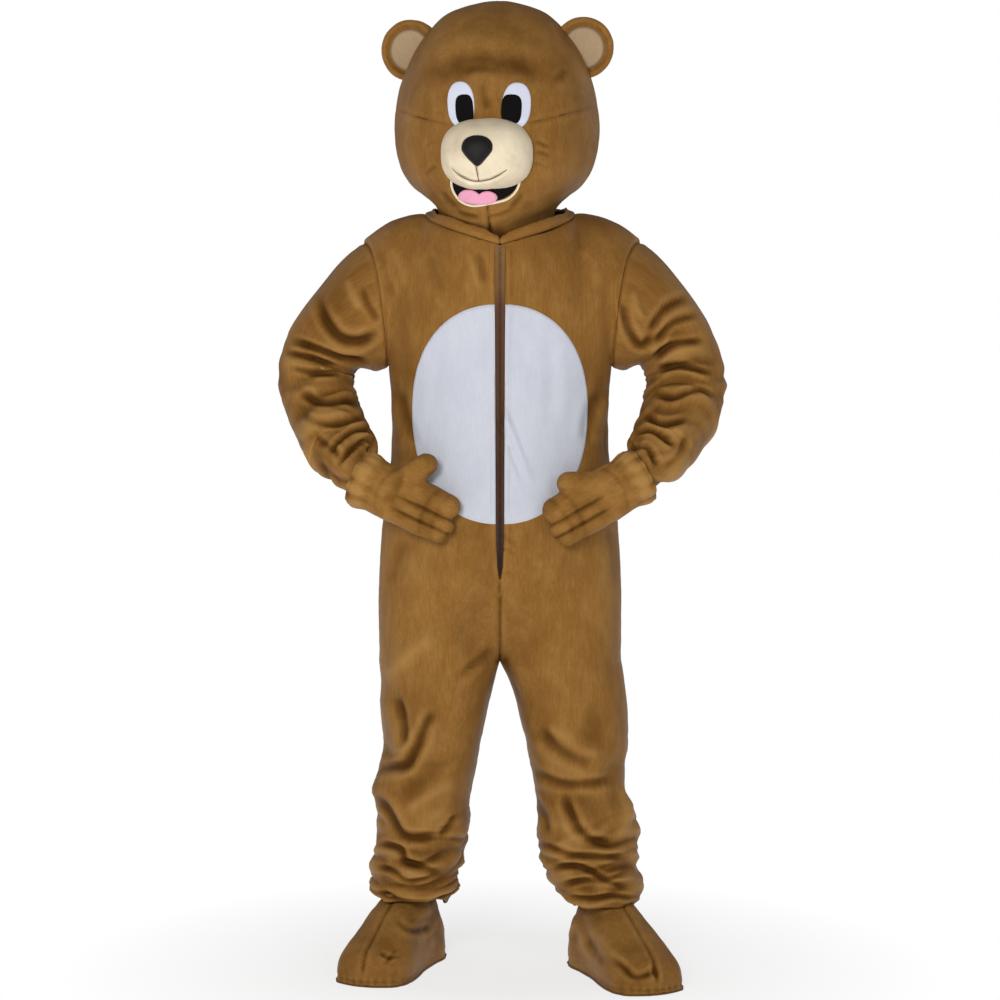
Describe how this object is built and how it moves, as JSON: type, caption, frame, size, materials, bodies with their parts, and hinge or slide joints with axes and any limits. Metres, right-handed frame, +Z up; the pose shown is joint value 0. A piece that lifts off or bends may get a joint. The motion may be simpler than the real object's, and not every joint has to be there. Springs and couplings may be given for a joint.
{
  "type": "bear mascot costume",
  "caption": "Plush bear mascot costume in its worn pose, hollow: padded head, one-piece suit with a front zip and pale belly, gloves and boot covers.",
  "frame": {"origin": "between the wearer's shoulders, on the middle line, 1.400 m above the floor that the boot covers stand on", "axes": "+Z up, -Y the way the bear faces, +X towards the wearer's left"},
  "size_m": [0.8683, 0.4858, 1.865],
  "materials": {
    "plush": "golden-brown short-pile velour plush with a soft satin sheen",
    "belly_cloth": "pale bluish-white short plush",
    "cream_plush": "cream short plush",
    "beige_plush": "beige short plush",
    "white_felt": "white felt",
    "black_felt": "black felt",
    "tongue_cloth": "pink satin-faced cloth",
    "zip": "reddish-brown zip tape and nylon coil",
    "sole": "dark brown gripper cloth sole"
  },
  "bodies": {
    "root": {"belly_left": "belly_cloth", "belly_right": "belly_cloth", "boot_left_inner": "plush", "boot_left_outer": "plush", "boot_left_sole": "sole", "boot_right_inner": "plush", "boot_right_outer": "plush", "boot_right_sole": "sole", "ear_inner_left": "beige_plush", "ear_inner_right": "beige_plush", "ear_left": "plush", "ear_right": "plush", "eye_pupil_left": "black_felt", "eye_pupil_right": "black_felt", "eye_white_left": "white_felt", "eye_white_right": "white_felt", "glove_left_back": "plush", "glove_left_palm": "plush", "glove_right_back": "plush", "glove_right_palm": "plush", "head_back_left": "plush", "head_back_right": "plush", "head_cheek_left": "plush", "head_cheek_right": "plush", "head_forehead": "plush", "lip": "cream_plush", "mouth": "black_felt", "muzzle": "cream_plush", "nose": "black_felt", "suit_back_left": "plush", "suit_back_right": "plush", "suit_collar": "plush", "suit_front_left": "plush", "suit_front_right": "plush", "suit_sleeve_left": "plush", "suit_sleeve_right": "plush", "tongue": "tongue_cloth", "zip_strip": "zip"}
  },
  "joints": []
}
